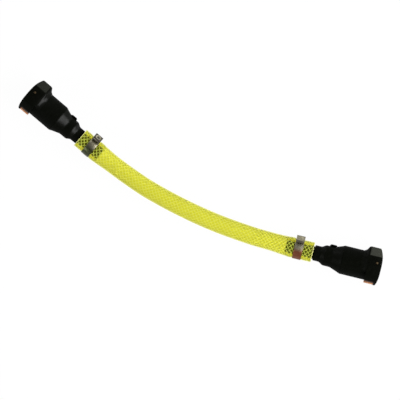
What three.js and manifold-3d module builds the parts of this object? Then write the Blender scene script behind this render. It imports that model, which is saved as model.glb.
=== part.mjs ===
// A short extension hose: clear yellow braided hose with a push-button quick coupling on each end.
// The assembly lies on a surface at z = 0, with +X from the left mouth to the right one, +Y towards
// the boxes on the couplings, and the origin in the middle of the couplings' footprint. Millimetres.
//
// Each coupling is modelled in its own frame: x runs from the mouth's front face towards the
// hose, y towards the box, and z out of a flank.

import * as THREE from 'three';
import { mergeVertices } from 'three/addons/utils/BufferGeometryUtils.js';
import Module from 'manifold-3d';

const wasm = await Module();
wasm.setup();

// Driving dimensions

const GAP = 0.3; // running and seating clearance between pieces
const SINK = 0.4; // how far a joined form goes into the one that carries it
const BEYOND = 30; // reach of a cutting form past the outside
const OVERRUN = 1; // how far a joined or cutting form runs on past the face that it ends at

const MIDDLE = [0.1, 6.3, 0]; // middle between the mouths, from the centre of the couplings' footprint
const HOSE_RADIUS = 9.5;
const HOSE_BORE = 6.5;
const HOSE_STRETCHED = { radius: 10, bore: 7.2, reach: 30, fade: 10 }; // over the barbs, from each end
const HOSE_SIDES = 12;
const HOSE_STEPS = 24;
const HOSE_REST_HEIGHT = 9.6; // axis height where the hose lies on the surface
const HOSE_STRAIGHT = 28; // length at each end that the barb holds straight
const STRAIGHT_POINTS = [0, 0.35, 0.7, 1]; // shares of that length where the route has a point

// Mouth is the mouth's centre on the surface's plan. Heading turns the coupling away from the
// assembly's long axis, in degrees.
const LEFT = {
  name: 'left', side: -1, mouth: [-203.5, 0], heading: -14, hoseStart: 70, clampInset: 14.3, clampRoll: 40,
};
const RIGHT = {
  name: 'right', side: 1, mouth: [203.65, -0.75], heading: 192.6, hoseStart: 71.2, clampInset: 15.2, clampRoll: -46,
};

const COLLAR = {
  length: 13,
  lipRadius: 18.2, // round side, where the button is
  flankHalf: 16.5,
  shoulderY: 11.6, // where the flank turns in towards the box
  boxTop: 20.8,
  boxHalf: 9.6,
  corner: 1.6,
  frontChamfer: 0.8,
  slope: [[13.9, 0.92], [16.2, 0.32]], // how much of the collar's height is left along the slope behind it
  slopeEnd: 18.8, // where that slope meets the barrel
  slopeFade: [-9, -3], // the slope fades out between these on the button side
};
// The collar's front is bowed across from flank to flank, and sweeps back most at the box
const BOW = { forward: 1.4, centre: -4, reach: 24, sweep: 3.4 };
const MOUTH_SEAT = { x: 0.4, radius: 11.5 }; // flat ring round the socket
const BARREL = { radius: 15, end: 40, edge: 0.6, lift: 39.4 };
const SOCKET = { radius: 7.6, end: 26.5, leadIn: 1.6, leadInRadius: 8.8 };
const SEAT = { radius: 5.5, end: 29.5 };
const CHAMBER = { radius: 9.2, end: 33.5 };
const TAIL_BORE = 12.4; // rear bore of the body, which takes the tail's spigot

const CHANNEL = { start: 2.6, end: 13, halfWidth: 10.5, top: 14.6 };
const SLIDE = {
  halfWidth: CHANNEL.halfWidth - GAP,
  buttonRadius: 17.8,
  top: 11.5,
  corner: 2.5,
  holeRadius: 8,
  holeOffset: -2.2, // off the bore's axis until the button is pressed
  travel: 2.6,
  bevel: 0.5,
};
const LATCH_SPRING = { x: 8, pocket: 3.5, seat: 9, ceiling: 19.2, radius: 2.5, wire: 0.8, turns: 5 };
const PIN = { x: 4.1, y: 5.3, radius: 1, headRadius: 1.7, headDepth: 0.9, inner: 8.7, recess: 2, face: 16.4 };

const RING_SIDES = 16;
const SOCKET_SEAL = { x: 22.2, radius: 8.2, cord: 0.8, grooveHalf: 1.2, grooveFloor: 9.3 };
const VALVE_SEAL = { x: 30.5, radius: 6.6, cord: 0.7 };
const TAIL_SEAL = { x: 37, radius: 11.4, cord: 0.7, grooveHalf: 1.05, grooveFloor: 10.4 };

const POPPET = {
  noseTip: 18.2, noseRadius: 2.6, noseEdge: 0.8, wingThickness: 1.4, wingRadius: 5.1, wingStart: 24,
  discStart: 30.1, discEnd: 32.8, discRadius: 8.3, spigotRadius: 3.8, spigotEnd: 35,
};
const VALVE_SPRING = { radius: 5, wire: 1, turns: 6, start: 33.1, end: 45.2 };

const TAIL = {
  spigotStart: 33.9, spigotRadius: 12.1, boreRadius: 9.2, shelf: 45.5, passage: 4.5,
  shoulderStart: 40.3, shoulderRadius: 14.8, coneStart: 42, coneStartRadius: 13.9, coneEnd: 50.8,
  rearRadius: 10.8, rearEnd: 58.8, neckStart: 62.8, neckRadius: 8.1, neckEnd: 69.8,
  rootRadius: 5.9, barbRadius: 6.6, barbs: 4, barbPitch: 6, end: 97,
};
const EYE = {
  start: 47.4, end: 55.3, top: 13, side: 10.9, base: 8, halfThickness: 2, slotLength: 4.8, slotLow: 10.9, wall: 1.2,
  bevel: 0.35,
};

const BAND = { inner: 10.3, outer: 11, width: 9, slit: GAP };
const EAR = {
  legInside: 0.65, legOutside: 1.35, legTop: 12, bulge: 4.3, bulgeReach: 14.2, top: 15.6, topHalf: 3.2,
  dimpleRadius: 2.2, dimpleDepth: 0.35,
};

const TURN_SIDES = 26; // facets of the large round forms
const SMALL_SIDES = 16;
const PIN_SIDES = 12;
const CORNER_STEPS = 4; // pieces of each curve in the collar's outline
const LONGEST = 6; // longest straight piece of that outline

// Finishes

const finish = (colour, roughness, metalness = 0) => () =>
  new THREE.MeshStandardMaterial({ color: colour, roughness, metalness });

const blackPlastic = finish(0x2b2d28, 0.45);
const orangePlastic = finish(0xd9631b, 0.45);
const valvePlastic = finish(0xd8d6cc, 0.5);
const sealRubber = finish(0x17181a, 0.75);
const springSteel = finish(0xb9bcc0, 0.3, 1);
const clampSteel = finish(0xaaa69e, 0.35, 1);
const pinBrass = finish(0xc19a5b, 0.3, 1);
const hosePlastic = finish(0xd9dc3c, 0.3);

// Geometry helpers

const alongX = new THREE.Matrix4().makeBasis(
  new THREE.Vector3(0, 1, 0),
  new THREE.Vector3(0, 0, 1),
  new THREE.Vector3(1, 0, 0),
);

const MERGE_WITHIN = 1e-3;

// Shared vertices are merged, empty triangles dropped and the faces turned outwards
function closed(geometry) {
  const source = geometry.clone();
  source.deleteAttribute('normal');
  source.deleteAttribute('uv');
  const merged = mergeVertices(source, MERGE_WITHIN);
  const p = merged.getAttribute('position');
  const corner = (i) => new THREE.Vector3().fromBufferAttribute(p, i);
  const index = [];
  let volume = 0;
  for (let i = 0; i < merged.index.count; i += 3) {
    const [a, b, c] = [0, 1, 2].map((k) => merged.index.getX(i + k));
    if (a === b || b === c || c === a) continue;
    index.push(a, b, c);
    volume += corner(a).dot(corner(b).cross(corner(c)));
  }
  if (volume < 0) index.reverse();
  merged.setIndex(index);
  return merged;
}

function toSolid(geometry) {
  const g = closed(geometry);
  return new wasm.Manifold(new wasm.Mesh({
    numProp: 3,
    vertProperties: new Float32Array(g.getAttribute('position').array),
    triVerts: new Uint32Array(g.index.array),
  }));
}

function fromSolid(solid) {
  const mesh = solid.getMesh();
  const geometry = new THREE.BufferGeometry();
  geometry.setAttribute('position', new THREE.BufferAttribute(new Float32Array(mesh.vertProperties), 3));
  geometry.setIndex([...mesh.triVerts]);
  geometry.computeVertexNormals();
  return geometry;
}

const join = (...geometries) => fromSolid(geometries.map(toSolid).reduce((a, b) => a.add(b)));
const cut = (geometry, ...tools) => fromSolid(tools.map(toSolid).reduce((a, b) => a.subtract(b), toSolid(geometry)));

// A closed profile of [x, radius] points revolved about the x axis
function turned(profile, sides = TURN_SIDES) {
  const points = [...profile, profile[0]].map(([x, r]) => new THREE.Vector2(r, x));
  return new THREE.LatheGeometry(points, sides).rotateZ(-Math.PI / 2).rotateX(Math.PI / sides);
}

function rod(from, to, radius, sides = SMALL_SIDES) {
  return turned([[from, 0], [from, radius], [to, radius], [to, 0]], sides);
}

function block(low, high) {
  const size = high.map((value, i) => value - low[i]);
  const centre = high.map((value, i) => (value + low[i]) / 2);
  return new THREE.BoxGeometry(...size).translate(...centre);
}

// A shape drawn in y and z, pushed along x
function pushed(shape, from, to, options = {}) {
  const bevel = options.bevel ?? 0;
  return new THREE.ExtrudeGeometry(shape, {
    depth: to - from - 2 * bevel,
    bevelEnabled: bevel > 0,
    bevelThickness: bevel,
    bevelSize: bevel,
    bevelOffset: -bevel,
    bevelSegments: 1,
    curveSegments: options.curveSegments ?? 12,
  }).translate(0, 0, from + bevel).applyMatrix4(alongX);
}

// A section of a loft: [y, z] points, each at x, which may depend on y
const station = (points, x) => points.map(([y, z]) => [typeof x === 'function' ? x(y) : x, y, z]);

// Sections of equally many points, each star-shaped about the x axis, skinned and capped
function loft(sections) {
  const count = sections[0].length;
  const positions = sections.flat(2);
  const index = [];
  for (let j = 0; j + 1 < sections.length; j += 1) {
    for (let i = 0; i < count; i += 1) {
      const [a, b] = [j * count + i, j * count + ((i + 1) % count)];
      index.push(a, b, b + count, a, b + count, a + count);
    }
  }
  const first = sections.length * count;
  const middle = (section) => section.reduce((sum, [x]) => sum + x, 0) / count;
  positions.push(middle(sections[0]), 0, 0, middle(sections.at(-1)), 0, 0);
  for (let i = 0; i < count; i += 1) {
    const next = (i + 1) % count;
    index.push(first, next, i);
    index.push(first + 1, first - count + i, first - count + next);
  }
  const geometry = new THREE.BufferGeometry();
  geometry.setAttribute('position', new THREE.Float32BufferAttribute(positions, 3));
  geometry.setIndex(index);
  return geometry;
}

function circleShape(radius, y = 0, z = 0) {
  const shape = new THREE.Shape();
  shape.absarc(y, z, radius, 0, 2 * Math.PI, false);
  return shape;
}

const CLOSED_TURN = 1.15; // pitch of a spring's closed turns, in wire diameters

// A compression spring about the x axis, with a closed turn at each end
class SpringPath extends THREE.Curve {
  constructor({ start, end, radius, wire, turns }) {
    super();
    const closedPitch = wire * CLOSED_TURN;
    Object.assign(this, { start: start + wire / 2, end: end - wire / 2, radius, turns, closedPitch });
  }

  getPoint(t, target = new THREE.Vector3()) {
    const turn = t * this.turns;
    const open = this.end - this.start - 2 * this.closedPitch;
    const lead = Math.min(turn, 1) + Math.max(turn - (this.turns - 1), 0);
    const active = THREE.MathUtils.clamp(turn - 1, 0, this.turns - 2) / (this.turns - 2);
    const angle = turn * 2 * Math.PI;
    const x = this.start + lead * this.closedPitch + active * open;
    return target.set(x, this.radius * Math.cos(angle), this.radius * Math.sin(angle));
  }
}

const SPRING_STEPS_PER_TURN = 7;

function spring(dimensions) {
  return new THREE.ExtrudeGeometry(circleShape(dimensions.wire / 2), {
    steps: dimensions.turns * SPRING_STEPS_PER_TURN,
    curveSegments: 3,
    extrudePath: new SpringPath(dimensions),
  });
}

function oRing({ x, radius, cord }) {
  const CORD_POINTS = 6;
  const profile = Array.from({ length: CORD_POINTS }, (_, i) => {
    const angle = (i / CORD_POINTS) * 2 * Math.PI;
    return [x + cord * Math.cos(angle), radius + cord * Math.sin(angle)];
  });
  return turned(profile, RING_SIDES);
}

// Coupling body

// The collar's outline: round on the button side, flat flanks, and a box with leaning sides
function collarOutline() {
  const { lipRadius, flankHalf, shoulderY, boxTop, boxHalf, corner } = COLLAR;
  const [drop, pull] = [0.3, 0.4].map((share) => share * corner);
  const arcEnd = Math.asin((flankHalf - drop) / lipRadius);
  const flankStart = -lipRadius * Math.cos(arcEnd) + corner;
  const lean = new THREE.Vector2(boxTop - shoulderY, boxHalf - flankHalf).normalize();
  const shape = new THREE.Shape();
  shape.absarc(0, 0, lipRadius, Math.PI + arcEnd, Math.PI - arcEnd, true);
  shape.quadraticCurveTo(flankStart - pull, flankHalf, flankStart + corner, flankHalf);
  shape.lineTo(shoulderY - corner, flankHalf);
  shape.quadraticCurveTo(shoulderY, flankHalf, shoulderY + lean.x * corner, flankHalf + lean.y * corner);
  shape.lineTo(boxTop - lean.x * corner, boxHalf - lean.y * corner);
  shape.quadraticCurveTo(boxTop, boxHalf, boxTop, boxHalf - corner);
  const half = shape.getPoints(CORNER_STEPS).filter((point) => point.y > GAP).map((point) => [point.x, point.y]);
  return spacedOut([...half, ...half.map(([y, z]) => [y, -z]).reverse()]);
}

// Long straight stretches get points of their own, so that a round section can follow on
function spacedOut(outline) {
  return outline.flatMap(([y, z], i) => {
    const [nextY, nextZ] = outline[(i + 1) % outline.length];
    const pieces = Math.max(1, Math.ceil(Math.hypot(nextY - y, nextZ - z) / LONGEST));
    return Array.from({ length: pieces }, (_, k) => [y + ((nextY - y) * k) / pieces, z + ((nextZ - z) * k) / pieces]);
  });
}

const toRadius = ([y, z], radius) => {
  const scale = radius / Math.hypot(y, z);
  return [y * scale, z * scale];
};

const between = (low, high, share) =>
  low.map((point, i) => point.map((value, axis) => THREE.MathUtils.lerp(value, high[i][axis], share)));

function couplingBody() {
  const outline = collarOutline();
  const front = (y) => BOW.sweep * (Math.abs(y - BOW.centre) / BOW.reach) ** 3 - BOW.forward;
  const inset = outline.map((point) => toRadius(point, Math.hypot(...point) - COLLAR.frontChamfer));
  const middle = outline.map(([y, z]) => [y / 2, z / 2]);
  const collar = loft([
    station(middle, front),
    station(inset, front),
    station(outline, (y) => front(y) + COLLAR.frontChamfer),
    station(outline, COLLAR.length),
  ]);

  // The slope behind the collar fades out towards the button side
  const slopeFoot = outline.map((point) => toRadius(point, BARREL.radius - SINK));
  const slopeTop = outline.map((point, i) => {
    const share = THREE.MathUtils.smoothstep(point[0], ...COLLAR.slopeFade);
    return between([slopeFoot[i]], [point], share)[0];
  });
  const slope = loft([
    station(slopeTop, COLLAR.length - OVERRUN),
    station(slopeTop, COLLAR.length),
    ...COLLAR.slope.map(([x, share]) => station(between(slopeFoot, slopeTop, share), x)),
    station(slopeFoot, COLLAR.slopeEnd),
  ]);

  const barrel = turned([
    [COLLAR.length - OVERRUN, 0],
    [COLLAR.length - OVERRUN, BARREL.radius],
    [BARREL.lift, BARREL.radius],
    [BARREL.end, BARREL.radius - BARREL.edge],
    [BARREL.end, 0],
  ]);
  const { x: sealX, grooveHalf, grooveFloor } = SOCKET_SEAL;
  const inside = turned([
    [-BEYOND, 0],
    [-BEYOND, MOUTH_SEAT.radius],
    [MOUTH_SEAT.x, MOUTH_SEAT.radius],
    [MOUTH_SEAT.x, SOCKET.leadInRadius],
    [SOCKET.leadIn, SOCKET.radius],
    [sealX - grooveHalf, SOCKET.radius],
    [sealX - grooveHalf, grooveFloor],
    [sealX + grooveHalf, grooveFloor],
    [sealX + grooveHalf, SOCKET.radius],
    [SOCKET.end, SOCKET.radius],
    [SOCKET.end, SEAT.radius],
    [SEAT.end, SEAT.radius],
    [SEAT.end, CHAMBER.radius],
    [CHAMBER.end, CHAMBER.radius],
    [CHAMBER.end, TAIL_BORE],
    [BARREL.end + OVERRUN, TAIL_BORE],
    [BARREL.end + OVERRUN, 0],
  ]);
  const { start, end, halfWidth, top } = CHANNEL;
  const channel = block([start, -BEYOND, -halfWidth], [end, top, halfWidth]);
  const springPocket = rod(top - OVERRUN, LATCH_SPRING.ceiling, LATCH_SPRING.pocket)
    .rotateZ(Math.PI / 2).translate(LATCH_SPRING.x, 0, 0);
  const pinHoles = [1, -1].flatMap((side) => [
    rod(halfWidth - OVERRUN, BEYOND, PIN.radius + GAP),
    rod(PIN.face - PIN.headDepth - GAP, BEYOND, PIN.recess),
  ].map((hole) => hole.rotateY((-side * Math.PI) / 2).translate(PIN.x, PIN.y, 0)));
  return cut(join(collar, slope, barrel), inside, channel, springPocket, ...pinHoles);
}

// Latch: push button, ring, return spring and stop pins

function latchSlide() {
  const { halfWidth, buttonRadius, top, corner, holeRadius, holeOffset, bevel, travel } = SLIDE;
  const arcEnd = Math.asin(halfWidth / buttonRadius);
  const shape = new THREE.Shape();
  shape.absarc(0, 0, buttonRadius, Math.PI + arcEnd, Math.PI - arcEnd, true);
  shape.lineTo(top - corner, halfWidth);
  shape.lineTo(top, halfWidth - corner);
  shape.lineTo(top, -halfWidth + corner);
  shape.lineTo(top - corner, -halfWidth);
  shape.closePath();
  shape.holes.push(circleShape(holeRadius, holeOffset));
  const plate = pushed(shape, CHANNEL.start + GAP, CHANNEL.end - GAP, { bevel, curveSegments: 8 });
  const grooves = [1, -1].map((side) => {
    const [inner, outer] = [PIN.inner - GAP, BEYOND].map((reach) => reach * side).sort((a, b) => a - b);
    const low = [CHANNEL.start - OVERRUN, PIN.y - PIN.radius - GAP - travel, inner];
    const high = [PIN.x + PIN.radius + GAP, PIN.y + PIN.radius + GAP, outer];
    return block(low, high);
  });
  const springSeat = rod(LATCH_SPRING.seat, top + OVERRUN, LATCH_SPRING.pocket)
    .rotateZ(Math.PI / 2).translate(LATCH_SPRING.x, 0, 0);
  return cut(plate, springSeat, ...grooves);
}

function latchSpring() {
  const { seat, ceiling, radius, wire, turns, x } = LATCH_SPRING;
  return spring({ start: seat + GAP, end: ceiling - GAP, radius, wire, turns })
    .rotateZ(Math.PI / 2).translate(x, 0, 0);
}

function latchPin(side) {
  const { radius, headRadius, headDepth, inner, face } = PIN;
  const headStart = face - headDepth;
  const profile = [
    [inner, 0],
    [inner, radius],
    [headStart, radius],
    [headStart, headRadius],
    [headStart + headDepth / 2, headRadius],
    [face - headDepth / 6, headRadius * 0.7],
    [face, 0],
  ];
  return turned(profile, PIN_SIDES).rotateY((-side * Math.PI) / 2).translate(PIN.x, PIN.y, 0);
}

// Shut-off valve

function valvePoppet() {
  const p = POPPET;
  const seal = VALVE_SEAL;
  const grooveIn = seal.radius - seal.cord - GAP;
  const grooveOut = seal.radius + seal.cord + GAP;
  const grooveFloor = seal.x + seal.cord + GAP;
  const stem = turned([
    [p.noseTip, 0],
    [p.noseTip, p.noseRadius - p.noseEdge],
    [p.noseTip + p.noseEdge, p.noseRadius],
    [p.discStart, p.noseRadius],
    [p.discStart, grooveIn],
    [grooveFloor, grooveIn],
    [grooveFloor, grooveOut],
    [p.discStart, grooveOut],
    [p.discStart, p.discRadius],
    [p.discEnd, p.discRadius],
    [p.discEnd, p.spigotRadius],
    [p.spigotEnd, p.spigotRadius],
    [p.spigotEnd, 0],
  ], SMALL_SIDES);
  const half = p.wingThickness / 2;
  const wings = [0, Math.PI / 2].map((turn) =>
    block([p.wingStart, -p.wingRadius, -half], [p.discStart + SINK, p.wingRadius, half]).rotateX(turn));
  return join(stem, ...wings);
}

// Hose tail

function hoseTail() {
  const t = TAIL;
  const seal = TAIL_SEAL;
  const barbs = Array.from({ length: t.barbs }, (_, i) => {
    const start = t.end - (t.barbs - i) * t.barbPitch;
    return [[start, t.barbRadius], [start + t.barbPitch, t.rootRadius]];
  }).flat();
  const body = turned([
    [t.spigotStart, t.boreRadius],
    [t.spigotStart, t.spigotRadius],
    [seal.x - seal.grooveHalf, t.spigotRadius],
    [seal.x - seal.grooveHalf, seal.grooveFloor],
    [seal.x + seal.grooveHalf, seal.grooveFloor],
    [seal.x + seal.grooveHalf, t.spigotRadius],
    [t.shoulderStart, t.spigotRadius],
    [t.shoulderStart, t.shoulderRadius - BARREL.edge],
    [t.shoulderStart + BARREL.edge, t.shoulderRadius],
    [t.coneStart, t.coneStartRadius],
    [t.coneEnd, t.rearRadius],
    [t.rearEnd, t.rearRadius],
    [t.neckStart, t.neckRadius],
    [t.neckEnd, t.neckRadius],
    [t.neckEnd, t.barbRadius],
    ...barbs,
    [t.end, t.passage],
    [t.shelf, t.passage],
    [t.shelf, t.boreRadius],
  ]);
  return join(body, tetherEye());
}

// A low eye on the box side, with a slot through it
function tetherEye() {
  const { start, end, top, side, base, halfThickness, slotLength, slotLow, wall, bevel } = EYE;
  const middle = (start + end) / 2;
  const round = top - side;
  const outline = new THREE.Shape();
  outline.moveTo(start, base);
  outline.lineTo(end, base);
  outline.lineTo(end, side);
  outline.quadraticCurveTo(end, top, end - round, top);
  outline.lineTo(start + round, top);
  outline.quadraticCurveTo(start, top, start, side);
  outline.closePath();
  const radius = (top - wall - slotLow) / 2;
  const slotMiddle = slotLow + radius;
  const slot = new THREE.Path();
  slot.absarc(middle + slotLength / 2 - radius, slotMiddle, radius, -Math.PI / 2, Math.PI / 2, false);
  slot.absarc(middle - slotLength / 2 + radius, slotMiddle, radius, Math.PI / 2, (3 * Math.PI) / 2, false);
  slot.closePath();
  outline.holes.push(slot);
  return new THREE.ExtrudeGeometry(outline, {
    depth: 2 * (halfThickness - bevel),
    bevelThickness: bevel,
    bevelSize: bevel,
    bevelOffset: -bevel,
    bevelSegments: 1,
    curveSegments: 5,
  }).translate(0, 0, -halfThickness + bevel);
}

// One-ear clamp about the hose's axis, its ear towards +y: the two legs are pinched together
// under a bulging top, and a tongue carries the band on under the gap between them
function clampBand() {
  const { inner, outer, width, slit } = BAND;
  const { legInside, legOutside, legTop, bulge, bulgeReach, top, topHalf } = EAR;
  const sheet = outer - inner;
  const outerAngle = Math.asin(legOutside / outer);
  const slitAngle = Math.asin(legInside / inner);
  const tongueEnd = legInside - slit;
  const shape = new THREE.Shape();
  shape.absarc(0, 0, outer, outerAngle, 2 * Math.PI - outerAngle, false);
  shape.lineTo(legTop, -legOutside);
  shape.quadraticCurveTo(legTop, -bulge, bulgeReach, -bulge);
  shape.quadraticCurveTo(top, -bulge, top, -topHalf);
  shape.lineTo(top, topHalf);
  shape.quadraticCurveTo(top, bulge, bulgeReach, bulge);
  shape.quadraticCurveTo(legTop, bulge, legTop, legOutside);
  shape.closePath();
  const roof = top - sheet;
  const hollow = bulge - sheet;
  const room = new THREE.Shape();
  room.moveTo(outer, -legInside);
  room.lineTo(legTop + sheet / 2, -legInside);
  room.quadraticCurveTo(legTop + sheet, -hollow, bulgeReach, -hollow);
  room.quadraticCurveTo(roof, -hollow, roof, -topHalf);
  room.lineTo(roof, topHalf);
  room.quadraticCurveTo(roof, hollow, bulgeReach, hollow);
  room.quadraticCurveTo(legTop + sheet, hollow, legTop + sheet / 2, legInside);
  room.lineTo(inner * Math.cos(slitAngle) - OVERRUN, legInside);
  room.lineTo(inner * Math.cos(slitAngle) - OVERRUN, tongueEnd);
  room.lineTo(outer, tongueEnd);
  room.closePath();
  const half = width / 2;
  const options = { curveSegments: 14 };
  const dimple = rod(top - EAR.dimpleDepth, top + OVERRUN, EAR.dimpleRadius).rotateZ(Math.PI / 2);
  return cut(
    pushed(shape, -half, half, options),
    rod(-half - OVERRUN, half + OVERRUN, inner, TURN_SIDES),
    pushed(room, -half - OVERRUN, half + OVERRUN, { curveSegments: 6 }),
    dimple,
  );
}

// Placing the couplings: each rests on the back corner of its collar and the end of its barrel

const TILT = Math.atan((COLLAR.flankHalf - BARREL.radius) / (BARREL.lift - COLLAR.length));
const MOUTH_HEIGHT = COLLAR.flankHalf * Math.cos(TILT) + COLLAR.length * Math.sin(TILT);

function couplingFrame({ side, mouth, heading }) {
  const turn = THREE.MathUtils.degToRad(heading);
  const axis = new THREE.Vector3(Math.cos(turn) * Math.cos(TILT), Math.sin(turn) * Math.cos(TILT), -Math.sin(TILT));
  const boxWay = new THREE.Vector3(Math.sin(turn) * side, -Math.cos(turn) * side, 0);
  const flankWay = new THREE.Vector3().crossVectors(axis, boxWay);
  return new THREE.Matrix4()
    .makeBasis(axis, boxWay, flankWay)
    .setPosition(...mouth, MOUTH_HEIGHT);
}

function named(name, geometry, material) {
  const mesh = new THREE.Mesh(closed(geometry), material());
  mesh.name = name;
  return mesh;
}

function coupling(place) {
  const group = new THREE.Group();
  const add = (name, geometry, material) => group.add(named(`${place.name}_${name}`, geometry, material));
  add('coupling_body', couplingBody(), blackPlastic);
  add('latch_slide', latchSlide(), orangePlastic);
  add('latch_spring', latchSpring(), springSteel);
  add('latch_pin_top', latchPin(-place.side), pinBrass);
  add('latch_pin_bottom', latchPin(place.side), pinBrass);
  add('socket_seal', oRing(SOCKET_SEAL), sealRubber);
  add('valve_poppet', valvePoppet(), valvePlastic);
  add('valve_seal', oRing(VALVE_SEAL), sealRubber);
  add('valve_spring', spring(VALVE_SPRING), springSteel);
  add('hose_tail', hoseTail(), blackPlastic);
  add('tail_seal', oRing(TAIL_SEAL), sealRubber);

  const clamp = new THREE.Group();
  clamp.position.x = place.hoseStart + place.clampInset;
  clamp.rotation.x = THREE.MathUtils.degToRad(place.clampRoll);
  clamp.add(named(`${place.name}_clamp_band`, clampBand(), clampSteel));
  group.add(clamp);

  group.applyMatrix4(couplingFrame(place));
  return group;
}

// Hose: held straight by the barbs at both ends, and lying in one gentle bend between them.
// Each point is x, y and the height above where the hose lies.
const HOSE_BEND = [
  [-93, -26.8, 1.25], [-80, -29.2, 0.75], [-66, -31.4, 0.35], [-52, -33.2, 0.1], [-38, -34.2, 0],
  [-24, -34.8, 0], [-10, -35, 0], [4, -34.9, 0], [18, -34.4, 0], [32, -33.5, 0], [46, -32.1, 0.05],
  [60, -30.4, 0.2], [74, -28.4, 0.5], [88, -25.8, 1.0],
];

function hoseRoute() {
  const straight = (place) => STRAIGHT_POINTS.map((share) =>
    new THREE.Vector3(place.hoseStart + share * HOSE_STRAIGHT, 0, 0).applyMatrix4(couplingFrame(place)));
  const bend = HOSE_BEND.map(([x, y, rise]) => new THREE.Vector3(x, y, HOSE_REST_HEIGHT + rise));
  return new THREE.CatmullRomCurve3([...straight(LEFT), ...bend, ...straight(RIGHT).reverse()]);
}

// The hose is stretched where it sits on the barbs
function stretched(geometry, route) {
  const { radius, bore, reach, fade } = HOSE_STRETCHED;
  const stations = route.getSpacedPoints(HOSE_STEPS);
  const spacing = route.getLength() / HOSE_STEPS;
  const position = geometry.getAttribute('position');
  for (let i = 0; i < position.count; i += 1) {
    const point = new THREE.Vector3().fromBufferAttribute(position, i);
    const distances = stations.map((centre) => centre.distanceTo(point));
    const distance = Math.min(...distances);
    const nearest = distances.indexOf(distance);
    const inward = Math.min(nearest, HOSE_STEPS - nearest) * spacing;
    const share = 1 - THREE.MathUtils.smoothstep(inward, reach, reach + fade);
    const outside = distance > (HOSE_RADIUS + HOSE_BORE) / 2;
    const growth = outside ? radius / HOSE_RADIUS : bore / HOSE_BORE;
    const centre = stations[nearest];
    point.sub(centre).multiplyScalar(THREE.MathUtils.lerp(1, growth, share)).add(centre);
    position.setXYZ(i, ...point);
  }
  return geometry;
}

function hose() {
  const section = circleShape(HOSE_RADIUS);
  section.holes.push(circleShape(HOSE_BORE));
  const route = hoseRoute();
  const plain = new THREE.ExtrudeGeometry(section, {
    steps: HOSE_STEPS,
    curveSegments: HOSE_SIDES / 2,
    extrudePath: route,
  });
  return stretched(plain, route);
}

const assembly = new THREE.Group();
assembly.position.set(...MIDDLE);
assembly.add(coupling(LEFT), coupling(RIGHT), named('hose', hose(), hosePlastic));

export default assembly;
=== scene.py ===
"""A short extension hose: clear yellow braided hose with a push-button quick coupling on each end.

The shapes are drawn in millimetres. Each coupling is drawn in its own frame: x runs from the
mouth's front face towards the hose, y towards the box, and z out of a flank.
"""

import math

import bmesh
import bpy
import numpy as np
from mathutils import Matrix, Vector


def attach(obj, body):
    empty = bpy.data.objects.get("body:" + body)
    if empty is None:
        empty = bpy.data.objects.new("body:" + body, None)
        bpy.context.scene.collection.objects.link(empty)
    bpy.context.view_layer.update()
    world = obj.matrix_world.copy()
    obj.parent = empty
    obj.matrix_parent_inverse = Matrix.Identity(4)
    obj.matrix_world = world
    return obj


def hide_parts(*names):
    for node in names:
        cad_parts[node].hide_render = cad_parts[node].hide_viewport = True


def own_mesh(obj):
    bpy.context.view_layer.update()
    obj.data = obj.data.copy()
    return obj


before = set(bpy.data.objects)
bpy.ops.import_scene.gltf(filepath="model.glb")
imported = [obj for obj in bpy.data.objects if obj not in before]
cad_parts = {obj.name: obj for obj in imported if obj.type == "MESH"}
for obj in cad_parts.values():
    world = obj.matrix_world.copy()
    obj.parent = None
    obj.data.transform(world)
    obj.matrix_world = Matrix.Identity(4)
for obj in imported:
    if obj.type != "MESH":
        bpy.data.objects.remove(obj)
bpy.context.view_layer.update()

MM = 0.001
BODY = "hose_assembly"
GAP = 0.3

# The view

VIEW_CENTRE = (4.93, -13.39)
VIEW_RIGHT = Vector((0.8955, 0.4451, 0))
VIEW_DISTANCE = 2250
VIEW_WIDTH = 417.6
SENSOR_WIDTH = 36
FARTHEST_SEEN = 20

# The couplings' places, the same as the solids have, but for the right barbs' end

MIDDLE = Vector((0.1, 6.3, 0))
COLLAR_LENGTH = 13
FLANK_HALF = 16.5
BARREL_RADIUS = 15
BARREL_LIFT = 39.4
TILT = math.atan((FLANK_HALF - BARREL_RADIUS) / (BARREL_LIFT - COLLAR_LENGTH))
MOUTH_HEIGHT = FLANK_HALF * math.cos(TILT) + COLLAR_LENGTH * math.sin(TILT)

LEFT = {
    "name": "left",
    "side": -1,
    "mouth": (-203.5, 0),
    "heading": -14,
    "hose_start": 70,
    "barb_end": 97,
    "clamp_inset": 14.3,
    "clamp_roll": 40,
}
RIGHT = {
    "name": "right",
    "side": 1,
    "mouth": (203.65, -0.75),
    "heading": 192.6,
    "hose_start": 71.2,
    "barb_end": 100,
    "clamp_inset": 15.2,
    "clamp_roll": -46,
}


def coupling_frame(place):
    """The matrix from a coupling's own frame to the shared one, in millimetres."""
    turn = math.radians(place["heading"])
    side = place["side"]
    axis = Vector((math.cos(turn) * math.cos(TILT), math.sin(turn) * math.cos(TILT), -math.sin(TILT)))
    box_way = Vector((math.sin(turn) * side, -math.cos(turn) * side, 0))
    flank_way = axis.cross(box_way)
    origin = Vector((*place["mouth"], MOUTH_HEIGHT)) + MIDDLE
    return Matrix.Translation(origin) @ Matrix((axis, box_way, flank_way)).transposed().to_4x4()


# The hose's route

HOSE_RADIUS = 9.5
HOSE_BORE = 6.5
HOSE_REST_HEIGHT = 9.6
HOSE_STRAIGHT = 28
STRAIGHT_SHARES = (0, 0.35, 0.7, 1)
HOSE_STEP = 1.0
SPLINE_STEPS = 12
HOSE_BEND = [
    (-93, -26.8, 1.25), (-80, -29.2, 0.75), (-66, -31.4, 0.35), (-52, -33.2, 0.1), (-38, -34.2, 0),
    (-24, -34.8, 0), (-10, -35, 0), (4, -34.9, 0), (18, -34.4, 0), (32, -33.5, 0), (46, -32.1, 0.05),
    (60, -30.4, 0.2), (74, -28.4, 0.5), (88, -25.8, 1.0),
]


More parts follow.
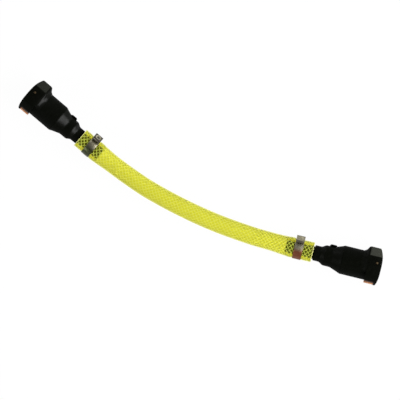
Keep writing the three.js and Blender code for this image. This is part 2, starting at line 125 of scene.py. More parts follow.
def slope_at(before, here, after, gap, next_gap):
    """The slope of a centripetal spline at a point, from its neighbours and the gaps to them."""
    over_both = (after - before) / (gap + next_gap)
    return (here - before) / gap - over_both + (after - here) / next_gap


def curve_through(points, steps):
    """Points on the centripetal spline through the given ones, so many to each stretch."""
    first = 2 * points[0] - points[1]
    last = 2 * points[-1] - points[-2]
    p = [first, *points, last]
    out = []
    for i in range(1, len(p) - 2):
        gaps = [math.sqrt((p[k + 1] - p[k]).length) for k in (i - 1, i, i + 1)]
        start = slope_at(*p[i - 1 : i + 2], *gaps[:2]) * gaps[1]
        end = slope_at(*p[i : i + 3], *gaps[1:]) * gaps[1]
        for step in range(steps):
            t = step / steps
            out.append(
                p[i] * (2 * t**3 - 3 * t**2 + 1)
                + start * (t**3 - 2 * t**2 + t)
                + p[i + 1] * (3 * t**2 - 2 * t**3)
                + end * (t**3 - t**2)
            )
    out.append(p[-2])
    return out


def evenly(points, spacing):
    """The same line with its points at equal distances, and the distance of each along it."""
    line = np.array([list(p) for p in points])
    run = np.concatenate([[0], np.cumsum(np.linalg.norm(np.diff(line, axis=0), axis=1))])
    count = int(round(run[-1] / spacing))
    at = np.linspace(0, run[-1], count + 1)
    return np.stack([np.interp(at, run, line[:, k]) for k in range(3)], axis=1), at


def hose_route():
    """A straight part over each set of barbs, and the bend between the two."""

    def straight(place):
        return [
            coupling_frame(place) @ Vector((place["hose_start"] + share * HOSE_STRAIGHT, 0, 0))
            for share in STRAIGHT_SHARES
        ]

    bend = [Vector((x, y, HOSE_REST_HEIGHT + rise)) + MIDDLE for x, y, rise in HOSE_BEND]
    return curve_through([*straight(LEFT), *bend, *reversed(straight(RIGHT))], SPLINE_STEPS)


hose_line, hose_along = evenly(hose_route(), HOSE_STEP)
HOSE_LENGTH = float(hose_along[-1])


def line_frames(line):
    """For each point of a line, two directions across it, which don't twist along it."""
    tangents = np.gradient(line, axis=0)
    tangents /= np.linalg.norm(tangents, axis=1)[:, None]
    side = np.cross([0, 0, 1], tangents[0])
    side /= np.linalg.norm(side)
    sides = []
    for tangent in tangents:
        side = side - tangent * side.dot(tangent)
        side /= np.linalg.norm(side)
        sides.append(side)
    sides = np.array(sides)
    return sides, np.cross(tangents, sides)


hose_side, hose_up = line_frames(hose_line)


def smooth(value, low, high):
    """0 below low, 1 above high, and an eased rise between."""
    t = np.clip((value - low) / (high - low), 0, 1)
    return t * t * (3 - 2 * t)


# The hose is stretched over the barbs, stands proudest just behind the band, and is held in under it

STRETCH = {"growth": 1.0, "from": 20, "to": 46, "crest": 0.28, "crest_at": 22, "crest_width": 4}
STRETCHED_BORE = {"radius": 7.2, "from": 30, "to": 40}
HELD_RADIUS = 10.22
HELD_FADE = 1.5
BARB_PITCH = 6
BARB_RIPPLE = 0.06
BAND_WIDTH = 9


def inwards(along):
    """The distance in from each end of the hose, with the coupling at that end."""
    return (LEFT, along), (RIGHT, HOSE_LENGTH - along)


def hose_swell(along):
    """The hose's outer radius at a distance along it."""
    radius = np.full_like(along, HOSE_RADIUS, dtype=float)
    s = STRETCH
    for place, inward in inwards(along):
        share = 1 - smooth(inward, s["from"], s["to"])
        crest = s["crest"] * np.exp(-(((inward - s["crest_at"]) / s["crest_width"]) ** 2))
        ripple = BARB_RIPPLE * np.cos(2 * np.pi * inward / BARB_PITCH) * share
        grown = radius + s["growth"] * share + crest + ripple
        start = place["clamp_inset"] - BAND_WIDTH / 2
        end = place["clamp_inset"] + BAND_WIDTH / 2
        held = smooth(inward, start - HELD_FADE, start) * (1 - smooth(inward, end, end + HELD_FADE))
        radius = grown * (1 - held) + HELD_RADIUS * held
    return radius


def hose_bore(along):
    """The hose's inner radius at a distance along it."""
    b = STRETCHED_BORE
    radius = np.full_like(along, HOSE_BORE, dtype=float)
    for _, inward in inwards(along):
        radius += (b["radius"] - HOSE_BORE) * (1 - smooth(inward, b["from"], b["to"]))
    return radius


# Meshes

MERGED = 1e-5
ON_AXIS = 1e-6
SHARP_ANGLE = 35
OVERLAP = 1
BODY_SIDES = 96
BAND_SIDES = 120
VALVE_SIDES = 64
CORD_SIDES = 16
ROD_SIDES = 48
PIN_SIDES = 40
PIN_HOLE_SIDES = 32
EASED_SHARE = 0.4
LEAST_EASED = 0.02
NEARLY_STRAIGHT = math.radians(176)
BEVELLED_FROM = math.radians(40)


def new_mesh(name, points, faces):
    """A mesh with coinciding points merged and its faces turned outwards."""
    mesh = bpy.data.meshes.new(name)
    mesh.from_pydata([tuple(float(v) for v in p) for p in points], [], [list(f) for f in faces])
    shape = bmesh.new()
    shape.from_mesh(mesh)
    bmesh.ops.remove_doubles(shape, verts=shape.verts, dist=MERGED)
    bmesh.ops.recalc_face_normals(shape, faces=shape.faces)
    shape.to_mesh(mesh)
    shape.free()
    return mesh


def mark_points(mesh, name, values, kind="FLOAT", field="value"):
    """Writes a value for each point of the mesh, which a finish can read."""
    attribute = mesh.attributes.new(name, kind, "POINT")
    attribute.data.foreach_set(field, np.asarray(values, np.float32))


def placed(name, data):
    """A new object in the scene."""
    thing = bpy.data.objects.new(name, data)
    bpy.context.scene.collection.objects.link(thing)
    return thing


def show(name, mesh, finish, place=Matrix.Identity(4), body=BODY, nodes=(), sharp=SHARP_ANGLE):
    """Puts a finished mesh in the scene, and keeps where each point was in the piece's own frame."""
    coordinates = np.zeros(len(mesh.vertices) * 3, np.float32)
    mesh.vertices.foreach_get("co", coordinates)
    mark_points(mesh, "own", coordinates, "FLOAT_VECTOR", "vector")
    mesh.transform(Matrix.Scale(MM, 4) @ place)
    mesh.polygons.foreach_set("use_smooth", [True] * len(mesh.polygons))
    mesh.set_sharp_from_angle(angle=math.radians(sharp))
    mesh.materials.clear()
    mesh.materials.append(finish.material)
    piece = placed(name, mesh)
    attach(piece, body)
    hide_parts(*nodes)
    return piece


def skinned(rings, count, first=0, capped=False, looped=False):
    """The faces from ring to ring, each of count points, numbered in order from the first one."""
    faces = []
    for k in range(rings if looped else rings - 1):
        low = first + k * count
        high = first + (k + 1) % rings * count
        for i in range(count):
            j = (i + 1) % count
            faces.append((low + i, low + j, high + j, high + i))
    if capped:
        last = first + (rings - 1) * count
        faces.append([first + i for i in reversed(range(count))])
        faces.append([last + i for i in range(count)])
    return faces


def around(angles, side, up):
    """The directions at these angles across a line."""
    return np.cos(angles)[:, None] * side + np.sin(angles)[:, None] * up


def tube(radius, line, side, up, sides, first=0, capped=False):
    """Rings round a line, each with its own radius."""
    angles = np.arange(sides) * 2 * np.pi / sides
    points = []
    for k in range(len(line)):
        points.extend(line[k] + radius[k] * around(angles, side[k], up[k]))
    return points, skinned(len(line), sides, first, capped)


def turned(profile, sides):
    """A closed profile of (x, radius) points revolved about the x axis."""
    points = []
    rings = []
    for x, radius in profile:
        if radius < ON_AXIS:
            rings.append([len(points)] * sides)
            points.append((x, 0, 0))
        else:
            rings.append([len(points) + i for i in range(sides)])
            angles = [2 * math.pi * (i + 0.5) / sides for i in range(sides)]
            points.extend((x, radius * math.cos(a), radius * math.sin(a)) for a in angles)
    faces = []
    for k in range(len(rings)):
        low = rings[k]
        high = rings[(k + 1) % len(rings)]
        for i in range(sides):
            j = (i + 1) % sides
            corners = []
            for corner in (low[i], low[j], high[j], high[i]):
                if corner not in corners:
                    corners.append(corner)
            if len(corners) > 2:
                faces.append(corners)
    return new_mesh("turned", points, faces)


def bent(start, corner, end, shares):
    """Points at these shares of a quadratic curve."""
    return [tuple(start * (1 - t) ** 2 + corner * (2 * t * (1 - t)) + end * t**2) for t in shares]


def eased(profile, radius, steps=4):
    """The same closed profile with its corners rounded off, where there is room."""
    out = []
    count = len(profile)
    for k, point in enumerate(profile):
        here = Vector(point)
        before = Vector(profile[k - 1]) - here
        after = Vector(profile[(k + 1) % count]) - here
        turn = before.angle(after, math.pi)
        reach = min(radius, before.length * EASED_SHARE, after.length * EASED_SHARE)
        if here.y < ON_AXIS or turn > NEARLY_STRAIGHT or reach < LEAST_EASED:
            out.append(tuple(here))
            continue
        start = here + before.normalized() * reach
        end = here + after.normalized() * reach
        out.extend(bent(start, here, end, [step / steps for step in range(steps + 1)]))
    return out


def rod(start, end, radius, sides=ROD_SIDES):
    """A round bar along x."""
    return turned([(start, 0), (start, radius), (end, radius), (end, 0)], sides)


def block(low, high):
    """A box between two opposite corners."""
    corners = [(x, y, z) for x in (low[0], high[0]) for y in (low[1], high[1]) for z in (low[2], high[2])]
    faces = [(0, 1, 3, 2), (4, 6, 7, 5), (0, 4, 5, 1), (2, 3, 7, 6), (0, 2, 6, 4), (1, 5, 7, 3)]
    return new_mesh("block", corners, faces)


def station(outline, x):
    """A section of a loft: (y, z) points, each at x, which may depend on y."""
    return [(x(y) if callable(x) else x, y, z) for y, z in outline]


def lofted(sections):
    """Sections of equally many points, skinned and capped."""
    points = [point for section in sections for point in section]
    return new_mesh("lofted", points, skinned(len(sections), len(sections[0]), capped=True))


def slab(outline, low, high):
    """An outline in y and z, pushed along x."""
    return lofted([station(outline, low), station(outline, high)])


def upright(outline, low, high):
    """An outline in x and y, pushed along z."""
    return lofted([[(x, y, z) for x, y in outline] for z in (low, high)])


def moved(mesh, matrix):
    mesh.transform(matrix)
    return mesh


ALONG_Y = Matrix.Rotation(math.pi / 2, 4, "Z")


def worked(base, joins, cuts, edge=0.0, edge_steps=2):
    """The base with others joined to it and cut from it, and its sharp edges broken."""
    blank = placed("blank", base)
    tools = []
    for operation, meshes in (("UNION", joins), ("DIFFERENCE", cuts)):
        for mesh in meshes:
            tool = placed("tool", mesh)
            tools.append(tool)
            step = blank.modifiers.new("step", "BOOLEAN")
            step.operation = operation
            step.solver = "MANIFOLD"
            step.object = tool
    if edge > 0:
        bevel = blank.modifiers.new("edges", "BEVEL")
        bevel.width = edge
        bevel.segments = edge_steps
        bevel.limit_method = "ANGLE"
        bevel.angle_limit = BEVELLED_FROM
        bevel.use_clamp_overlap = True
    graph = bpy.context.evaluated_depsgraph_get()
    result = bpy.data.meshes.new_from_object(blank.evaluated_get(graph))
    for thing in (blank, *tools):
        bpy.data.objects.remove(thing)
    return result


# Finishes


class Reading:
    """One socket's value, which can be worked with as numbers are."""

    def __init__(self, finish, socket):
        self.finish = finish
        self.socket = socket

    def _math(self, operation, *values):
        return self.finish.node("ShaderNodeMath", {"operation": operation}, dict(enumerate(values)))

    def __add__(self, other):
        return self._math("ADD", self, other)

    __radd__ = __add__

    def __sub__(self, other):
        return self._math("SUBTRACT", self, other)

    def __rsub__(self, other):
        return self._math("SUBTRACT", other, self)

    def __mul__(self, other):
        return self._math("MULTIPLY", self, other)

    __rmul__ = __mul__

    def size(self):
        """The value without its sign."""
        return self._math("ABSOLUTE", self)

    def above(self, low, high):
        """0 below low, 1 above high, and a straight rise between."""
        return self.finish.node(
            "ShaderNodeMapRange",
            {"clamp": True},
            {"Value": self, "From Min": low, "From Max": high, "To Min": 0.0, "To Max": 1.0},
        )


class Finish:
    """A material with its record slot, or the world's nodes, all made by one method."""

    def __init__(self, name, slot=None, tree=None):
        self.slot = slot
        if tree is None:
            self.material = bpy.data.materials.new(name)
            self.material.use_nodes = True
            tree = self.material.node_tree
        self.tree = tree
        self.tree.nodes.clear()

    def node(self, kind, settings=None, inputs=None, output=0):
        made = self.tree.nodes.new(kind)
        for key, value in (settings or {}).items():
            setattr(made, key, value)
        for key, value in (inputs or {}).items():
            socket = self._socket(made.inputs, key)
            if isinstance(value, Reading):
                self.tree.links.new(value.socket, socket)
            elif socket.type == "RGBA":
                socket.default_value = (*value, 1)
            else:
                socket.default_value = value
        return Reading(self, self._socket(made.outputs, output)) if made.outputs else None

    @staticmethod
    def _socket(sockets, key):
        """The socket with that number, identifier or name."""
        if isinstance(key, int):
            return sockets[key]
        for socket in sockets:
            if socket.identifier == key:
                return socket
        return sockets[key]

    def own(self):
        """Where the point is in the piece's own frame, in millimetres."""
        return self.node("ShaderNodeAttribute", {"attribute_name": "own"}, output="Vector")

    def mark(self, name):
        """A value which the mesh holds for each of its points."""
        return self.node("ShaderNodeAttribute", {"attribute_name": name}, output="Fac")

    def noise(self, place, scale, detail, roughness=0.5):
        return self.node(
            "ShaderNodeTexNoise",
            {"noise_dimensions": "3D"},
            {"Vector": place, "Scale": scale, "Detail": detail, "Roughness": roughness},
        )

    def stretched(self, place, by):
        return self.node("ShaderNodeVectorMath", {"operation": "MULTIPLY"}, {0: place, 1: by})

    def distance(self, place, point, along):
        """How far a place is from a point, counting only the directions named."""
        ends = {0: self.stretched(place, along), 1: point}
        return self.node("ShaderNodeVectorMath", {"operation": "DISTANCE"}, ends, output="Value")

    def mix(self, share, low, high):
        return self.node(
            "ShaderNodeMix",
            {"data_type": "RGBA"},
            {"Factor_Float": share, "A_Color": low, "B_Color": high},
            output="Result_Color",
        )

    def bump(self, height, distance, strength):
        inputs = {"Height": height, "Distance": distance, "Strength": strength}
        return self.node("ShaderNodeBump", {}, inputs)

    def surface(self, clear=None, solid=1.0, **inputs):
        """The material's one surface, with names of sockets in words joined by underscores.

        A clear colour tints what is seen through it, where solid is below 1.
        """
        named = {}
        for key, value in inputs.items():
            named[key.replace("_", " ").title().replace("Ior", "IOR")] = value
        shader = self.node("ShaderNodeBsdfPrincipled", {}, named, output="BSDF")
        if clear is not None:
            film = self.node("ShaderNodeBsdfTransparent", {}, {"Color": clear})
            shader = self.node("ShaderNodeMixShader", {}, {0: solid, 1: film, 2: shader})
        self.node("ShaderNodeOutputMaterial", {}, {"Surface": shader})

    def parts(self, place):
        """A place's x, y and z."""
        return [self.node("ShaderNodeSeparateXYZ", {}, {"Vector": place}, output=k) for k in range(3)]


# Where the finishes change, in a piece's own frame

EYE_TOP_HIGHLIGHT = (12.0, 12.6)
EYE_SPAN = (47, 56)
EYE_FADE = 0.5
SMOOTH_SLOPES = ((12.5, 18.5), (40, 50), (57.5, 62.5))
SLOPE_FADE = 1.5
SHEEN_FROM = (-6.0, 0.5)
SHEEN_LESS = (6.0, 11.0)
SHADED_STRIP = {"from": (-17.0, -15.8), "to": (-13.5, -12.5)}
EAR_SIDES = {"above": (11.3, 11.9), "beyond": (2.7, 3.5)}
EAR_TOP = (14.6, 15.2)
DISH_RIM = {"from": (1.4, 2.1), "to": (2.8, 3.4)}
HIGHLIGHT_END = (0.4, 2.0)
PIN_SHADE = (0.9, 1.3)


def black_plastic(name, painted_flank_light, polish):
    """Near-black moulded plastic with a fine spark-eroded texture, the box's flanks and the eye's top
    painted paler, as light that falls on them.

    Its slopes have a sheen, but for the side away from the box.
    """
    f = Finish(name, "black_plastic")
    own = f.own()
    grain = f.noise(own, 5.5, 2.0)
    rubbed = f.noise(own, 0.22, 4.0, 0.6).above(0.45, 0.75)
    along, across, _ = f.parts(own)
    # Painted light: the box's flanks, and the eye's top at half strength, are mixed towards a paler
    # colour.
    box = f.mark("box_flank")
    start, end = EYE_SPAN
    beside_eye = along.above(start - EYE_FADE, start) - along.above(end, end + EYE_FADE)
    eye = across.above(*EYE_TOP_HIGHLIGHT) * beside_eye
    smooth_slopes = sum(
        along.above(a, a + SLOPE_FADE) - along.above(b, b + SLOPE_FADE) for a, b in SMOOTH_SLOPES
    )
    sheen = across.above(*SHEEN_FROM) * (1 - across.above(*SHEEN_LESS) * 0.75)
    plain = f.mix(rubbed, (0.0009, 0.0012, 0.0004), (0.0019, 0.0023, 0.0012))
    f.surface(
        base_color=f.mix((box + eye * 0.5) * (0.75 + grain * 0.25), plain, painted_flank_light),
        roughness=0.56 + rubbed * 0.06 + grain * 0.08,
        normal=f.bump(grain, 0.00004, 0.6),
        specular_ior_level=0.03,
        coat_weight=smooth_slopes * sheen * (0.75 + rubbed * 0.25) * polish,
        coat_roughness=0.3,
    )
    return f


def orange_plastic():
    """Orange push-button plastic, satin, dark in the strip that the collar's rim shades."""
    f = Finish("orange_plastic", "orange_plastic")
    own = f.own()
    grain = f.noise(own, 4.0, 2.0)
    cloud = f.noise(own, 0.3, 3.0)
    _, across, _ = f.parts(own)
    worn = f.mix(cloud, (0.36, 0.125, 0.022), (0.46, 0.17, 0.034))
    shaded = across.above(*SHADED_STRIP["from"]) * (1 - across.above(*SHADED_STRIP["to"]))
    f.surface(
        base_color=f.mix(shaded, worn, (0.03, 0.008, 0.003)),
        roughness=0.4 + grain * 0.12,
        normal=f.bump(grain, 0.00003, 0.5),
        specular_ior_level=0.2,
    )
    return f


def clouded(name, slot, scale, colours, roughness, drift, **inputs):
    """A plain finish, whose colour and roughness drift together."""
    f = Finish(name, slot)
    cloud = f.noise(f.own(), scale, 3.0)
    f.surface(base_color=f.mix(cloud, *colours), roughness=roughness + cloud * drift, **inputs)
    return f


def seal_rubber():
    """Black sealing rubber with a bloom."""
    f = Finish("seal_rubber", "seal_rubber")
    bloom = f.noise(f.own(), 1.2, 4.0, 0.6)
    f.surface(
        base_color=f.mix(bloom.above(0.4, 0.8), (0.006, 0.006, 0.007), (0.02, 0.02, 0.021)),
        roughness=0.6 + bloom * 0.15,
        normal=f.bump(bloom, 0.00003, 0.4),
    )
    return f


def clamp_steel(name, dulled, painted_top_shade, painted_rim_highlight, painted_reflection):
    """Rolled stainless strip: fine streaks round the band, a dull film, and a painted reflection, darker,
    on its low side.

    The ear's top and sides are painted dark as shade, but for a part of the ring round its dish, which has
    a painted highlight.
    """
    f = Finish(name, "clamp_steel")
    own = f.own()
    streaks = f.noise(f.stretched(own, (7.0, 0.35, 0.35)), 1.0, 4.0, 0.6)
    cloud = f.noise(own, 0.35, 3.0, 0.6)
    along, height, width = f.parts(own)
    # Painted shade on the ear's sides and top, and a painted highlight on part of the dish's rim.
    ear_sides = height.above(*EAR_SIDES["above"]) * width.size().above(*EAR_SIDES["beyond"])
    from_dish = f.distance(own, (0, 0, 0), (1, 0, 1))
    dish_rim = from_dish.above(*DISH_RIM["from"]) - from_dish.above(*DISH_RIM["to"])
    ear_top = height.above(*EAR_TOP) * (1 - dish_rim)
    rolled = f.mix(streaks.above(0.3, 0.7), (0.19, 0.175, 0.12), (0.34, 0.315, 0.225))
    rim_highlight_share = height.above(*EAR_TOP) * dish_rim * (1 - along.above(*HIGHLIGHT_END)) * painted_rim_highlight
    with_highlight = f.mix(rim_highlight_share, rolled, (0.52, 0.48, 0.35))
    shaded_top = f.mix(ear_top * painted_top_shade, with_highlight, (0.07, 0.065, 0.05))
    shaded_sides = f.mix(ear_sides * 0.8, shaded_top, (0.08, 0.07, 0.055))
    # Painted reflection: the band's low side is mixed towards a darker colour.
    low_side = f.mark("low_side")
    f.surface(
        base_color=f.mix(low_side * (0.6 + cloud * 0.6), shaded_sides, painted_reflection),
        roughness=dulled + streaks * 0.2 + cloud * 0.06,
        metallic=1.0,
        normal=f.bump(streaks, 0.00003, 0.5),
    )
    return f


def pin_brass():
    """Turned brass, dull and darkened, with painted shade round its rim, where it sits in its recess."""
    f = Finish("pin_brass", "pin_brass")
    own = f.own()
    cloud = f.noise(own, 1.5, 3.0)
    from_middle = f.distance(own, (PIN["x"], PIN["y"], 0), (1, 1, 0))
    turned_face = f.mix(cloud, (0.06, 0.042, 0.022), (0.11, 0.078, 0.042))
    f.surface(
        base_color=f.mix(from_middle.above(*PIN_SHADE), turned_face, (0.012, 0.010, 0.007)),
        roughness=0.38 + cloud * 0.12,
        metallic=1.0,
    )
    return f


HOSE_YELLOW = (0.65, 0.64, 0.040)
BARB_FADE = 0.6


def over_barb(f):
    """1 where a barb lies under the hose's wall, and 0 between the two barbs."""
    along = f.mark("along")
    left = LEFT["barb_end"] - LEFT["hose_start"]
    right = HOSE_LENGTH - (RIGHT["barb_end"] - RIGHT["hose_start"])
    past_left, past_right = (along.above(end - BARB_FADE, end + BARB_FADE) for end in (left, right))
    return (1 - past_left) + past_right


def hose_skin():
    """The hose's clear yellow outer layer, glossy, denser where it is looked at along the wall."""
    f = Finish("hose_skin", "hose_pvc")
    own = f.own()
    dull = f.noise(own, 0.05, 4.0, 0.6)
    facing = f.node("ShaderNodeLayerWeight", {}, {"Blend": 0.35}, output="Facing")
    f.surface(
        base_color=f.mix(dull, HOSE_YELLOW, (0.67, 0.67, 0.12)),
        roughness=0.16 + dull * 0.12,
        clear=(0.98, 0.97, 0.6),
        solid=0.02 + facing * 0.28,
        normal=f.bump(f.noise(own, 0.6, 2.0), 0.0001, 0.25),
    )
    return f


def hose_yarn():
    """Polyester reinforcement yarn, seen pale through the wall, and painted darker over the barbs as the
    shade of the black barb under it.
    """
    f = Finish("hose_yarn", "hose_pvc")
    fibres = f.noise(f.own(), 3.0, 2.0)
    pale = f.mix(fibres, (0.62, 0.64, 0.14), (0.70, 0.72, 0.26))
    f.surface(
        base_color=f.mix(over_barb(f), pale, (0.38, 0.45, 0.13)),
        roughness=0.35 + fibres * 0.1,
    )
    return f


def hose_liner():
    """The hose's inner layer, tinted enough to look solid between the barbs and clear over them."""
    f = Finish("hose_liner", "hose_pvc")
    cloud = f.noise(f.own(), 0.08, 3.0)
    f.surface(
        base_color=f.mix(cloud, (0.64, 0.64, 0.09), (0.59, 0.59, 0.05)),
        roughness=0.35 + cloud * 0.1,
        clear=(0.95, 0.92, 0.3),
        solid=1 - over_barb(f) * 0.92,
    )
    return f


# Camera

camera_data = bpy.data.cameras.new("camera")
camera_data.sensor_width = SENSOR_WIDTH
camera_data.lens = SENSOR_WIDTH * VIEW_DISTANCE / VIEW_WIDTH
camera_data.clip_end = FARTHEST_SEEN
camera = placed("camera", camera_data)
view_back = Vector((0, 0, 1))
view_up = view_back.cross(VIEW_RIGHT)
camera.matrix_world = Matrix.Translation(
    Vector((*VIEW_CENTRE, HOSE_REST_HEIGHT + VIEW_DISTANCE)) * MM
) @ Matrix((VIEW_RIGHT, view_up, view_back)).transposed().to_4x4()
bpy.context.scene.camera = camera

# Hose

SKIN_SIDES = 64
LINER_DEPTH = 1.15
YARN_DEPTH = 0.75
YARNS_EACH_WAY = 13
YARN_WIDTH = 0.72
YARN_THICKNESS = 0.22
YARN_SECTION = [(-0.5, 0), (-0.3, 0.5), (0.3, 0.5), (0.5, 0), (0.3, -0.5), (-0.3, -0.5)]
YARN_SHARP = 60
WEAVE = 0.13
BRAID_LEAD = 2 * math.pi * (HOSE_RADIUS - YARN_DEPTH)
CUT_FACE = {"proud": 0.12, "rim": 0.2, "shoulder": 0.05, "depth": 0.4}


def hose_wall(radius, first=0):
    """One wall of the hose, its points numbered from first."""
    return tube(radius, hose_line, hose_side, hose_up, SKIN_SIDES, first)


def hose_pieces():
    """The clear outer layer, and the pieces that move with it: liner, braid and cut faces."""
    outer = hose_swell(hose_along)
    bore = hose_bore(hose_along)
    skin = show("hose_skin", new_mesh("hose_skin", *hose_wall(outer)), SKIN, nodes=["hose"])

    liner_points, liner_faces = hose_wall(outer - LINER_DEPTH)
    bore_points, bore_faces = hose_wall(bore, len(liner_points))
    liner_mesh = new_mesh("hose_liner", liner_points + bore_points, liner_faces + bore_faces)
    mark_points(liner_mesh, "along", np.tile(np.repeat(hose_along, SKIN_SIDES), 2))
    liner = show("hose_liner", liner_mesh, LINER)

    braid = hose_braid(outer)
    rings = [hose_ring(k, outer[k], bore[k]) for k in (0, -1)]
    return skin, [liner, braid, *rings]


def hose_ring(end, outer, bore):
    """The cut face at one end: a thin washer with slightly rounded rims."""
    name = "left_hose_cut" if end == 0 else "right_hose_cut"
    inward = 1 if end == 0 else -1
    tangent = np.cross(hose_side[end], hose_up[end])
    c = CUT_FACE
    profile = [
        (c["shoulder"], outer),
        (-c["proud"], outer - c["rim"]),
        (-c["proud"], bore + c["rim"]),
        (c["shoulder"], bore),
        (c["depth"], bore),
        (c["depth"], outer),
    ]
    across = around(np.arange(SKIN_SIDES) * 2 * np.pi / SKIN_SIDES, hose_side[end], hose_up[end])
    points = []
    for x, radius in profile:
        points.extend(hose_line[end] + tangent * x * inward + radius * across)
    return show(name, new_mesh(name, points, skinned(len(profile), SKIN_SIDES, looped=True)), CUT)


def hose_braid(outer):
    """Two sets of flat yarns wound opposite ways, each passing over and under the others."""
    turn = 2 * math.pi * hose_along / BRAID_LEAD
    count = len(YARN_SECTION)
    points = []
    faces = []
    for way in (1, -1):
        lift = way * WEAVE * np.cos(YARNS_EACH_WAY * turn)
        radius = outer - YARN_DEPTH + lift
        for yarn in range(YARNS_EACH_WAY):
            angle = way * turn + 2 * math.pi * yarn / YARNS_EACH_WAY
            out = around(angle, hose_side, hose_up)
            centre = hose_line + radius[:, None] * out
            run = np.gradient(centre, axis=0)
            run /= np.linalg.norm(run, axis=1)[:, None]
            across = np.cross(out, run)
            faces += skinned(len(centre), count, len(points), capped=True)
            for k in range(len(centre)):
                for w, h in YARN_SECTION:
                    points.append(centre[k] + across[k] * w * YARN_WIDTH + out[k] * h * YARN_THICKNESS)
    mesh = new_mesh("hose_braid", points, faces)
    mark_points(mesh, "along", np.tile(np.repeat(hose_along, count), 2 * YARNS_EACH_WAY))
    return show("hose_braid", mesh, YARN, sharp=YARN_SHARP)


# Coupling body

COLLAR = {
    "lip_radius": 18.2,
    "shoulder_y": 11.6,
    "box_top": 20.8,
    "box_half": 9.6,
    "corner": 1.6,
    "front_edge": 0.8,
    "back_edge": 0.4,
    "slope": [(13, 1), (13.9, 0.97), (14.65, 0.87), (16.65, 0.37), (18.65, 0.14), (19.8, 0)],
    "slope_fade": (-9, -3),
    "crest_share": 0.6,
    "foot_inset": 0.4,
    "slope_lap": 1.5,
    "face_shares": (0.15, 0.5, 0.8),
    "outline_step": 1.2,
    "slope_steps": 4,
    "arc_steps": 22,
    "arc_early": 0.3,
    "arc_bend": 0.4,
}
BOX_START = 12.4
BOW = {"forward": 1.4, "centre": -1, "reach": 24, "sweep": 5.6}
MOUTH_SEAT = {"x": 0.4, "radius": 11.5, "lip": 8.8, "lead_in": (0.75, 8.35), "end": 1.6}
BEYOND = {"mouth": -10, "button": -30, "flank": 20}
BARREL_END = 40
BARREL_EDGE = 0.2
BARREL_EASE = 0.5
SOCKET_RADIUS = 7.6
SOCKET_END = 26.5
SEAT_RADIUS = 5.5
SEAT_END = 29.5
CHAMBER_RADIUS = 9.2
CHAMBER_END = 33.5
TAIL_BORE = 12.4
CHANNEL = {"start": 2.6, "end": 13, "half": 10.5, "top": 14.6}
LATCH_SPRING = {"x": 8, "pocket": 3.5, "seat": 9, "ceiling": 19.2, "radius": 2.5, "wire": 0.8, "turns": 5}
PIN = {"x": 4.1, "y": 5.3, "radius": 1, "head": 1.7, "depth": 0.9, "inner": 8.7, "recess": 2, "face": 16.4}
SOCKET_SEAL = {"x": 22.2, "radius": 8.2, "cord": 0.8, "half": 1.2, "floor": 9.3}
VALVE_SEAL = {"x": 30.5, "radius": 6.6, "cord": 0.7}
TAIL_SEAL = {"x": 37, "radius": 11.4, "cord": 0.7, "half": 1.05, "floor": 10.4}
VALVE_SPRING = {"start": 33.1, "end": 45.2, "radius": 5, "wire": 1, "turns": 6, "travel": 4}
SPRING_PLACE = Matrix.Translation((LATCH_SPRING["x"], 0, 0)) @ ALONG_Y


def pin_place(side):
    """Turns the x axis to a pin's, out of the flank on that side."""
    return Matrix.Translation((PIN["x"], PIN["y"], 0)) @ Matrix.Rotation(-side * math.pi / 2, 4, "Y")


def arc(centre, radius, start, end, steps):
    """Points on an arc between two angles."""
    return [
        (centre[0] + radius * math.cos(a), centre[1] + radius * math.sin(a))
        for a in (start + (end - start) * k / steps for k in range(steps + 1))
    ]


def bend_to(start, corner, end, steps=6):
    """A corner rounded between two points, without the first of them."""
    shares = [(k + 1) / steps for k in range(steps)]
    return bent(Vector(start), Vector(corner), Vector(end), shares)


def between(low, high, share):
    """The point at that share of the way from one to the other."""
    return tuple(Vector(low).lerp(Vector(high), share))


def spaced(outline, longest):
    """The same closed outline, its long sides split up."""
    out = []
    for k, here in enumerate(outline):
        there = outline[(k + 1) % len(outline)]
        pieces = max(1, math.ceil((Vector(there) - Vector(here)).length / longest))
        out.extend(between(here, there, i / pieces) for i in range(pieces))
    return out


def collar_outline():
    """Round on the button side, flat flanks, and a box with leaning sides."""
    lip = COLLAR["lip_radius"]
    corner = COLLAR["corner"]
    shoulder = COLLAR["shoulder_y"]
    top = COLLAR["box_top"]
    half = COLLAR["box_half"]
    arc_end = math.asin((FLANK_HALF - corner * COLLAR["arc_early"]) / lip)
    flank_start = -lip * math.cos(arc_end) + corner
    lean = Vector((top - shoulder, half - FLANK_HALF)).normalized()
    bend_at = flank_start - corner * COLLAR["arc_bend"]
    line = arc((0, 0), lip, math.pi, math.pi - arc_end, COLLAR["arc_steps"])[1:]
    line += bend_to(line[-1], (bend_at, FLANK_HALF), (flank_start + corner, FLANK_HALF))
    line.append((shoulder - corner, FLANK_HALF))
    leaning = (shoulder + lean.x * corner, FLANK_HALF + lean.y * corner)
    line += bend_to(line[-1], (shoulder, FLANK_HALF), leaning)
    line.append((top - lean.x * corner, half - lean.y * corner))
    line += bend_to(line[-1], (top, half), (top, half - corner))
    mirrored = [(y, -z) for y, z in reversed(line)]
    return spaced([(-lip, 0), *line, *mirrored], COLLAR["outline_step"])


def shrunk(outline, inset):
    """Each point moved towards the axis by the inset."""
    out = []
    for y, z in outline:
        reach = math.hypot(y, z)
        out.append((y * (reach - inset) / reach, z * (reach - inset) / reach))
    return out


def to_radius(outline, radius):
    """Each point moved to the same distance from the axis."""
    return [(y * radius / math.hypot(y, z), z * radius / math.hypot(y, z)) for y, z in outline]


def rounded_stations(start, edge, back, steps=4):
    """(x, inset) pairs for a rim rounded off by the given amount, from its face inwards."""
    way = -1 if back else 1
    pairs = []
    for k in range(steps + 1):
        a = math.pi / 2 * k / steps
        pairs.append((start + way * edge * (1 - math.cos(a)), edge * (1 - math.sin(a))))
    return list(reversed(pairs)) if back else pairs


